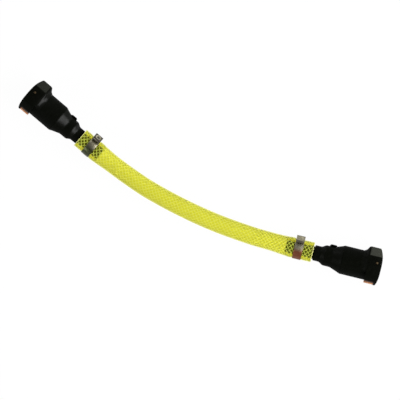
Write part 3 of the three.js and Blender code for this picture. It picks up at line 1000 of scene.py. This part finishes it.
def front_at(y):
    """The collar's front is bowed from flank to flank, and sweeps back most at the box."""
    return BOW["sweep"] * (abs(y - BOW["centre"]) / BOW["reach"]) ** 3 - BOW["forward"]


def groove(seal, radius):
    """A seal's groove in a profile, from that radius to its floor and back."""
    start = seal["x"] - seal["half"]
    end = seal["x"] + seal["half"]
    return [(start, radius), (start, seal["floor"]), (end, seal["floor"]), (end, radius)]


def coupling_body_mesh():
    """The collar, its slope and the barrel, with the bores and the latch's channel cut out."""
    outline = collar_outline()
    face = shrunk(outline, COLLAR["front_edge"])
    sections = [
        station([(y * share, z * share) for y, z in face], front_at) for share in COLLAR["face_shares"]
    ]
    for x, inset in rounded_stations(0, COLLAR["front_edge"], back=False):
        sections.append(station(shrunk(outline, inset), lambda y, x=x: front_at(y) + x))
    for x, inset in rounded_stations(COLLAR_LENGTH, COLLAR["back_edge"], back=True):
        sections.append(station(shrunk(outline, inset), x))
    collar = lofted(sections)

    foot = to_radius(outline, BARREL_RADIUS - COLLAR["foot_inset"])
    crest = []
    inner = shrunk(outline, COLLAR["back_edge"] * COLLAR["crest_share"])
    for (y, _), low, high in zip(outline, foot, inner):
        crest.append(between(low, high, float(smooth(y, *COLLAR["slope_fade"]))))
    fall = curve_through([Vector(point) for point in COLLAR["slope"]], COLLAR["slope_steps"])
    sections = [station(crest, COLLAR_LENGTH - COLLAR["slope_lap"])]
    for x, share in fall:
        sections.append(station([between(low, high, share) for low, high in zip(foot, crest)], x))
    slope = lofted(sections)

    barrel = turned(
        eased(
            [
                (COLLAR_LENGTH - OVERLAP, 0),
                (COLLAR_LENGTH - OVERLAP, BARREL_RADIUS),
                (BARREL_LIFT, BARREL_RADIUS),
                (BARREL_END, BARREL_RADIUS - BARREL_EDGE),
                (BARREL_END, 0),
            ],
            BARREL_EASE,
        ),
        BODY_SIDES,
    )
    inside = turned(
        [
            (BEYOND["mouth"], 0),
            (BEYOND["mouth"], MOUTH_SEAT["radius"]),
            (MOUTH_SEAT["x"], MOUTH_SEAT["radius"]),
            (MOUTH_SEAT["x"], MOUTH_SEAT["lip"]),
            MOUTH_SEAT["lead_in"],
            (MOUTH_SEAT["end"], SOCKET_RADIUS),
            *groove(SOCKET_SEAL, SOCKET_RADIUS),
            (SOCKET_END, SOCKET_RADIUS),
            (SOCKET_END, SEAT_RADIUS),
            (SEAT_END, SEAT_RADIUS),
            (SEAT_END, CHAMBER_RADIUS),
            (CHAMBER_END, CHAMBER_RADIUS),
            (CHAMBER_END, TAIL_BORE),
            (BARREL_END + OVERLAP, TAIL_BORE),
            (BARREL_END + OVERLAP, 0),
        ],
        BODY_SIDES,
    )
    channel = block(
        (CHANNEL["start"], BEYOND["button"], -CHANNEL["half"]),
        (CHANNEL["end"], CHANNEL["top"], CHANNEL["half"]),
    )
    pocket = moved(
        rod(CHANNEL["top"] - OVERLAP, LATCH_SPRING["ceiling"], LATCH_SPRING["pocket"]), SPRING_PLACE
    )
    holes = []
    for side in (1, -1):
        floor = PIN["face"] - PIN["depth"] - GAP
        for start, radius in ((CHANNEL["half"] - OVERLAP, PIN["radius"] + GAP), (floor, PIN["recess"])):
            holes.append(moved(rod(start, BEYOND["flank"], radius, PIN_HOLE_SIDES), pin_place(side)))
    return worked(collar, [slope, barrel], [inside, channel, pocket, *holes], edge=0.18)


# Latch

SLIDE = {
    "half": CHANNEL["half"] - GAP,
    "button": 17.8,
    "top": 11.5,
    "corner": 2.5,
    "hole": 8,
    "offset": -2.2,
    "travel": 2.6,
    "arc_steps": 48,
}


def latch_slide_mesh():
    """The push button and the latch ring behind it, with the pins' grooves and the spring's seat."""
    half = SLIDE["half"]
    corner = SLIDE["corner"]
    top = SLIDE["top"]
    arc_end = math.asin(half / SLIDE["button"])
    line = arc((0, 0), SLIDE["button"], math.pi + arc_end, math.pi - arc_end, SLIDE["arc_steps"])
    line += [(top - corner, half)]
    line += bend_to(line[-1], (top, half), (top, half - corner))
    line += [(top, -half + corner)]
    line += bend_to(line[-1], (top, -half), (top - corner, -half))
    start = CHANNEL["start"] + GAP
    end = CHANNEL["end"] - GAP
    plate = slab(line, start, end)
    hole = moved(
        rod(start - OVERLAP, end + OVERLAP, SLIDE["hole"], BODY_SIDES),
        Matrix.Translation((0, SLIDE["offset"], 0)),
    )
    seat = moved(rod(LATCH_SPRING["seat"], top + OVERLAP, LATCH_SPRING["pocket"]), SPRING_PLACE)
    grooves = []
    for side in (1, -1):
        reach = sorted((side * (PIN["inner"] - GAP), side * BEYOND["flank"]))
        room = PIN["radius"] + GAP
        low = (CHANNEL["start"] - OVERLAP, PIN["y"] - room - SLIDE["travel"], reach[0])
        high = (PIN["x"] + room, PIN["y"] + room, reach[1])
        grooves.append(block(low, high))
    return worked(plate, [], [hole, seat, *grooves], edge=0.4, edge_steps=3)


CLOSED_LEAD = 1.15
STEPS_A_TURN = 28
WIRE_SIDES = 12


def spring_mesh(start, end, radius, wire, turns):
    """A compression spring about the x axis, with a closed turn at each end."""
    low = start + wire / 2
    high = end - wire / 2
    closed = wire * CLOSED_LEAD
    steps = turns * STEPS_A_TURN
    turn = np.linspace(0, turns, steps + 1)
    lead = np.minimum(turn, 1) + np.maximum(turn - (turns - 1), 0)
    active = np.clip(turn - 1, 0, turns - 2) / (turns - 2)
    x = low + lead * closed + active * (high - low - 2 * closed)
    angle = turn * 2 * np.pi
    line = np.stack([x, radius * np.cos(angle), radius * np.sin(angle)], axis=1)
    out = np.stack([np.zeros_like(x), np.cos(angle), np.sin(angle)], axis=1)
    tangent = np.gradient(line, axis=0)
    tangent /= np.linalg.norm(tangent, axis=1)[:, None]
    across = np.cross(tangent, out)
    radii = np.full(len(line), wire / 2)
    return new_mesh("spring", *tube(radii, line, out, across, WIRE_SIDES, capped=True))


PIN_DOME = [(0.45, 1), (0.25, 0.86), (0.1, 0.6), (0.02, 0.3)]


def pin_mesh(side):
    """A pin with a low domed head."""
    face = PIN["face"]
    depth = PIN["depth"]
    head = PIN["head"]
    profile = [
        (PIN["inner"], 0),
        (PIN["inner"], PIN["radius"]),
        (face - depth, PIN["radius"]),
        (face - depth, head),
        *((face - depth * share, head * reach) for share, reach in PIN_DOME),
        (face, 0),
    ]
    return moved(turned(profile, PIN_SIDES), pin_place(side))


# Seals and valve


def seal_mesh(seal):
    """An O-ring round the x axis."""
    profile = [
        (seal["x"] + seal["cord"] * math.cos(a), seal["radius"] + seal["cord"] * math.sin(a))
        for a in (2 * math.pi * k / CORD_SIDES for k in range(CORD_SIDES))
    ]
    return turned(profile, VALVE_SIDES)


POPPET = {
    "nose": 18.2,
    "nose_radius": 2.6,
    "nose_edge": [(0, 1.2), (0.3, 0.6), (0.9, 0)],
    "front": 30.1,
    "back": 32.8,
    "radius": 8.3,
    "edge": 0.3,
    "boss": (3.8, 3.4),
    "end": 35,
    "wing_start": 24,
    "wing_lap": 0.5,
    "wing_reach": 5.1,
    "wing_half": 0.7,
}


def poppet_mesh():
    """A nose, a disc with its seal's groove, a boss for the spring, and four guiding wings."""
    p = POPPET
    seal = VALVE_SEAL
    floor = seal["x"] + seal["cord"] + GAP
    groove_inner = seal["radius"] - seal["cord"] - GAP
    groove_outer = seal["radius"] + seal["cord"] + GAP
    stem = turned(
        [
            (p["nose"], 0),
            *((p["nose"] + x, p["nose_radius"] - inset) for x, inset in p["nose_edge"]),
            (p["front"], p["nose_radius"]),
            (p["front"], groove_inner),
            (floor, groove_inner),
            (floor, groove_outer),
            (p["front"], groove_outer),
            (p["front"], p["radius"] - p["edge"]),
            (p["front"] + p["edge"], p["radius"]),
            (p["back"] - p["edge"], p["radius"]),
            (p["back"], p["radius"] - p["edge"]),
            (p["back"], p["boss"][0]),
            (p["end"], p["boss"][1]),
            (p["end"], 0),
        ],
        VALVE_SIDES,
    )
    low = (p["wing_start"], -p["wing_reach"], -p["wing_half"])
    high = (p["front"] + p["wing_lap"], p["wing_reach"], p["wing_half"])
    wings = [moved(block(low, high), Matrix.Rotation(turn, 4, "X")) for turn in (0, math.pi / 2)]
    return worked(stem, wings, [], edge=0.1)


# Hose tail

TAIL = {
    "spigot_start": 33.9,
    "spigot_radius": 12.1,
    "bore": 9.2,
    "shelf": 45.5,
    "passage": 4.5,
    "shoulder": 40.05,
    "shoulder_radius": 14.8,
    "cone_start": 42,
    "cone_start_radius": 13.9,
    "cone_end": 50.8,
    "rear_radius": 10.8,
    "rear_end": 58.8,
    "neck_start": 62.8,
    "neck_radius": 8.1,
    "neck_end": 69.8,
    "root": 5.9,
    "barb": 6.6,
    "barbs": 4,
    "ease": 1.5,
    "ease_steps": 6,
}
EYE = {
    "start": 47.4,
    "end": 55.3,
    "top": 13,
    "side": 10.9,
    "base": 8,
    "half": 2,
    "slot": 4.8,
    "low": 10.9,
    "wall": 1.2,
    "web_half": 0.4,
    "lean": 0.2,
    "arc_steps": 10,
}


def hose_tail_mesh(barb_end):
    """The rear moulding: spigot, shoulder, cone, neck and barbs, with the tether eye on one side."""
    t = TAIL
    barbs = []
    for k in range(t["barbs"]):
        start = barb_end - (t["barbs"] - k) * BARB_PITCH
        barbs += [(start, t["barb"]), (start + BARB_PITCH, t["root"])]
    body = turned(
        eased(
            [
                (t["spigot_start"], t["bore"]),
                (t["spigot_start"], t["spigot_radius"]),
                *groove(TAIL_SEAL, t["spigot_radius"]),
                (t["shoulder"], t["spigot_radius"]),
                (t["shoulder"], t["shoulder_radius"] - BARREL_EDGE),
                (t["shoulder"] + BARREL_EDGE, t["shoulder_radius"]),
                (t["cone_start"], t["cone_start_radius"]),
                (t["cone_end"], t["rear_radius"]),
                (t["rear_end"], t["rear_radius"]),
                (t["neck_start"], t["neck_radius"]),
                (t["neck_end"], t["neck_radius"]),
                (t["neck_end"], t["barb"]),
                *barbs,
                (barb_end, t["passage"]),
                (t["shelf"], t["passage"]),
                (t["shelf"], t["bore"]),
            ],
            t["ease"],
            t["ease_steps"],
        ),
        BODY_SIDES,
    )
    return worked(body, [eye_mesh()], [])


def eye_mesh():
    """A low eye on the box side, its slot closed by a thin web."""
    e = EYE
    rise = e["top"] - e["side"]
    line = [(e["start"], e["base"]), (e["end"], e["base"]), (e["end"], e["side"])]
    line += bend_to(line[-1], (e["end"] - e["lean"], e["top"]), (e["end"] - rise, e["top"]), steps=8)
    line.append((e["start"] + rise, e["top"]))
    line += bend_to(line[-1], (e["start"] + e["lean"], e["top"]), (e["start"], e["side"]), steps=8)
    middle = (e["start"] + e["end"]) / 2
    radius = (e["top"] - e["wall"] - e["low"]) / 2
    reach = e["slot"] / 2 - radius
    centre = e["low"] + radius
    slot = arc((middle + reach, centre), radius, -math.pi / 2, math.pi / 2, e["arc_steps"])
    slot += arc((middle - reach, centre), radius, math.pi / 2, 3 * math.pi / 2, e["arc_steps"])
    plate = upright(line, -e["half"], e["half"])
    recesses = []
    for way in (1, -1):
        recesses.append(upright(slot, *sorted((way * e["web_half"], way * (e["half"] + OVERLAP)))))
    return worked(plate, [], recesses, edge=0.2, edge_steps=3)


# Clamp

BAND = {"inner": 10.3, "outer": 11, "width": BAND_WIDTH, "slit": GAP, "arc_steps": 96}
EAR = {
    "leg_inside": 0.65,
    "leg_outside": 1.35,
    "leg_top": 12,
    "bulge": 4.3,
    "bulge_reach": 14.8,
    "top": 16.3,
    "top_half": 3.2,
    "dimple_radius": 2.8,
    "dimple_depth": 0.6,
}


def bowl(level, radius, depth, steps=8):
    """A round-bottomed cutter which leaves a dish of that radius and depth below the level."""
    ball = (radius**2 + depth**2) / (2 * depth)
    line = [(level - depth, 0)]
    for k in range(1, steps + 1):
        reach = radius * k / steps
        line.append((level - depth + ball - math.sqrt(ball**2 - reach**2), reach))
    return turned([*line, (level + OVERLAP, radius), (level + OVERLAP, 0)], ROD_SIDES)


def clamp_band_mesh():
    """One-ear clamp about the hose's axis: two legs pinched together under a bulging top."""
    inner = BAND["inner"]
    outer = BAND["outer"]
    half = BAND["width"] / 2
    e = EAR
    sheet = outer - inner
    outer_angle = math.asin(e["leg_outside"] / outer)
    slit_angle = math.asin(e["leg_inside"] / inner)
    tongue = e["leg_inside"] - BAND["slit"]
    line = arc((0, 0), outer, outer_angle, 2 * math.pi - outer_angle, BAND["arc_steps"])
    line.append((e["leg_top"], -e["leg_outside"]))
    line += bend_to(line[-1], (e["leg_top"], -e["bulge"]), (e["bulge_reach"], -e["bulge"]), steps=10)
    line += bend_to(line[-1], (e["top"], -e["bulge"]), (e["top"], -e["top_half"]), steps=8)
    line.append((e["top"], e["top_half"]))
    line += bend_to(line[-1], (e["top"], e["bulge"]), (e["bulge_reach"], e["bulge"]), steps=8)
    line += bend_to(line[-1], (e["leg_top"], e["bulge"]), (e["leg_top"], e["leg_outside"]), steps=10)
    roof = e["top"] - sheet
    hollow = e["bulge"] - sheet
    foot = inner * math.cos(slit_angle) - OVERLAP
    room = [(outer, -e["leg_inside"]), (e["leg_top"] + sheet / 2, -e["leg_inside"])]
    room += bend_to(room[-1], (e["leg_top"] + sheet, -hollow), (e["bulge_reach"], -hollow), steps=8)
    room += bend_to(room[-1], (roof, -hollow), (roof, -e["top_half"]), steps=6)
    room.append((roof, e["top_half"]))
    room += bend_to(room[-1], (roof, hollow), (e["bulge_reach"], hollow), steps=6)
    leg = (e["leg_top"] + sheet / 2, e["leg_inside"])
    room += bend_to(room[-1], (e["leg_top"] + sheet, hollow), leg, steps=8)
    room += [(foot, e["leg_inside"]), (foot, tongue), (outer, tongue)]
    dimple = moved(bowl(e["top"], e["dimple_radius"], e["dimple_depth"]), ALONG_Y)
    past = half + OVERLAP
    hollows = [rod(-past, past, inner, BAND_SIDES), slab(room, -past, past), dimple]
    return worked(slab(line, -half, half), [], hollows, edge=0.12)


REFLECTION_FADE = (-0.35, 0.15)
FLANK_START = (BOX_START - 0.8, BOX_START + 0.2)
FLANK_SLANT = (0.45, 0.8)


def mark_low_side(band, place):
    """1 on the side of the band that is away from the box, fading to 0 past its middle: where a darker
    reflection is painted.
    """
    turn = Matrix.Rotation(math.radians(place["clamp_roll"]), 3, "X")
    towards_box = [(turn @ vertex.co).y / BAND["outer"] for vertex in band.vertices]
    mark_points(band, "low_side", 1 - smooth(np.array(towards_box), *REFLECTION_FADE))


def mark_box_flanks(body):
    """1 on the box's leaning sides and its top, 0 on its front, its back and the rest; the black is
    painted paler there, as light.
    """
    values = []
    for vertex in body.vertices:
        on_box = smooth(vertex.co.y, *FLANK_START) * (vertex.co.x < COLLAR_LENGTH)
        values.append(on_box * (1 - smooth(abs(vertex.normal.x), *FLANK_SLANT)))
    mark_points(body, "box_flank", values)


# The pieces

# The two couplings are one moulding; the right one's box flanks are painted paler than the left's, as
# light.
BLACKS = {
    "left": black_plastic("left_black_plastic", painted_flank_light=(0.018, 0.019, 0.015), polish=0.30),
    "right": black_plastic("right_black_plastic", painted_flank_light=(0.038, 0.040, 0.032), polish=0.08),
}
ORANGE = orange_plastic()
VALVE = clouded(
    "valve_plastic",
    "valve_plastic",
    scale=0.5,
    colours=((0.66, 0.65, 0.60), (0.72, 0.71, 0.67)),
    roughness=0.4,
    drift=0.1,
)
RUBBER = seal_rubber()
SPRING = clouded(
    "spring_steel",
    "spring_steel",
    scale=2.5,
    colours=((0.45, 0.46, 0.47), (0.6, 0.6, 0.61)),
    roughness=0.24,
    drift=0.14,
    metallic=1.0,
)
# The two clamps are the same steel; their painted shade, painted highlight and painted reflection differ
# as the light on each differs.
CLAMPS = {
    "left": clamp_steel(
        "left_clamp_steel", dulled=0.22, painted_top_shade=0.85, painted_rim_highlight=0.9, painted_reflection=(0.025, 0.033, 0.011)
    ),
    "right": clamp_steel(
        "right_clamp_steel", dulled=0.34, painted_top_shade=0.0, painted_rim_highlight=0.25, painted_reflection=(0.18, 0.045, 0.02)
    ),
}
BRASS = pin_brass()
SKIN = hose_skin()
YARN = hose_yarn()
LINER = hose_liner()
CUT = clouded(
    "hose_cut",
    "hose_pvc",
    scale=1.0,
    colours=((0.58, 0.57, 0.19), (0.66, 0.65, 0.27)),
    roughness=0.45,
    drift=0.1,
)

hose_skin_piece, hose_inside = hose_pieces()


def make_coupling(place):
    """The twelve pieces of one coupling, in its place."""
    side = place["side"]
    name = place["name"]
    at = coupling_frame(place)

    def add(piece, mesh, finish, body=BODY, where=at):
        full = f"{name}_{piece}"
        return show(full + "_look", mesh, finish, where, body, [full])

    button = f"{name}_button"
    valve = f"{name}_valve"
    shell = coupling_body_mesh()
    mark_box_flanks(shell)
    add("coupling_body", shell, BLACKS[name])
    add("hose_tail", hose_tail_mesh(place["barb_end"]), BLACKS[name])
    add("latch_slide", latch_slide_mesh(), ORANGE, button)
    add("latch_pin_top", pin_mesh(-side), BRASS)
    add("latch_pin_bottom", pin_mesh(side), BRASS)
    add("socket_seal", seal_mesh(SOCKET_SEAL), RUBBER)
    add("tail_seal", seal_mesh(TAIL_SEAL), RUBBER)
    add("valve_seal", seal_mesh(VALVE_SEAL), RUBBER, valve)
    add("valve_poppet", poppet_mesh(), VALVE, valve)

    s = LATCH_SPRING
    low, high = s["seat"] + GAP, s["ceiling"] - GAP
    wound = moved(spring_mesh(low, high, s["radius"], s["wire"], s["turns"]), SPRING_PLACE)
    latch_spring = add("latch_spring", wound, SPRING)
    axis = at.to_3x3() @ Vector((0, 1, 0))
    anchor = (at @ Vector((s["x"], high, 0))) * MM
    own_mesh(latch_spring)

    s = VALVE_SPRING
    low, high = s["start"], s["end"]
    wound = spring_mesh(low, high, s["radius"], s["wire"], s["turns"])
    valve_spring = add("valve_spring", wound, SPRING)
    axis = at.to_3x3() @ Vector((1, 0, 0))
    anchor = (at @ Vector((high, 0, 0))) * MM
    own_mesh(valve_spring)

    clamp_place = (
        at
        @ Matrix.Translation((place["hose_start"] + place["clamp_inset"], 0, 0))
        @ Matrix.Rotation(math.radians(place["clamp_roll"]), 4, "X")
    )
    band = clamp_band_mesh()
    mark_low_side(band, place)
    add("clamp_band", band, CLAMPS[name], where=clamp_place)


make_coupling(LEFT)
make_coupling(RIGHT)

# Floor, world and lamps

FLOOR_SIZE = 8
FLOOR_GLOW = 0.97
PAPER = (0.88, 0.88, 0.88)
WHITE = (1, 1, 1)
GLOW_SEEN_BY = ("Is Camera Ray", "Is Glossy Ray", "Is Transmission Ray")
WALLS = {"low": 0.75, "less": 0.5, "between": (0.25, 0.7)}


def floor_finish():
    """White paper, which glows for the camera and in what mirrors it or shows it through."""
    f = Finish("floor")
    direct, mirrored, through = (f.node("ShaderNodeLightPath", output=word) for word in GLOW_SEEN_BY)
    seen = (direct + mirrored + through) * FLOOR_GLOW
    paper = f.node("ShaderNodeBsdfDiffuse", {}, {"Color": PAPER})
    glow = f.node("ShaderNodeEmission", {}, {"Color": WHITE, "Strength": 1.0})
    mixed = f.node("ShaderNodeMixShader", {}, {0: seen, 1: paper, 2: glow})
    f.node("ShaderNodeOutputMaterial", {}, {"Surface": mixed})
    return f


edge = FLOOR_SIZE / 2
floor_mesh = bpy.data.meshes.new("floor")
floor_corners = [(-edge, -edge, 0), (edge, -edge, 0), (edge, edge, 0), (-edge, edge, 0)]
floor_mesh.from_pydata(floor_corners, [], [(0, 1, 2, 3)])
floor_mesh.materials.append(floor_finish().material)
floor = placed("floor", floor_mesh)

world = bpy.data.worlds.new("studio")
world.use_nodes = True
bpy.context.scene.world = world
studio = Finish("studio", tree=world.node_tree)
direction = studio.node("ShaderNodeTexCoord", output="Generated")
height = studio.node("ShaderNodeSeparateXYZ", {}, {"Vector": direction}, output="Z")
camera_ray = studio.node("ShaderNodeLightPath", output="Is Camera Ray")
walls = WALLS["low"] - WALLS["less"] * height.above(*WALLS["between"])
strength = walls + camera_ray * (1 - walls)
sky = studio.node("ShaderNodeBackground", {}, {"Color": WHITE, "Strength": strength})
studio.node("ShaderNodeOutputWorld", {}, {"Surface": sky})


def softbox(name, towards, elevation, distance, width, height, power):
    """An area lamp that looks at the object from that side and height."""
    flat = math.radians(towards)
    rise = math.radians(elevation)
    back = Vector((math.cos(flat) * math.cos(rise), math.sin(flat) * math.cos(rise), math.sin(rise)))
    data = bpy.data.lights.new(name, "AREA")
    data.shape = "RECTANGLE"
    data.size = width
    data.size_y = height
    data.energy = power
    lamp = placed(name, data)
    facing = back.to_track_quat("Z", "Y").to_matrix().to_4x4()
    lamp.matrix_world = Matrix.Translation(back * distance) @ facing


softbox("key", towards=10, elevation=38, distance=1.4, width=1.7, height=1.1, power=34)
softbox("fill", towards=120, elevation=28, distance=1.6, width=1.0, height=0.8, power=5)
softbox("low", towards=230, elevation=30, distance=1.8, width=1.4, height=0.7, power=13)

bpy.context.scene.view_settings.view_transform = "Standard"
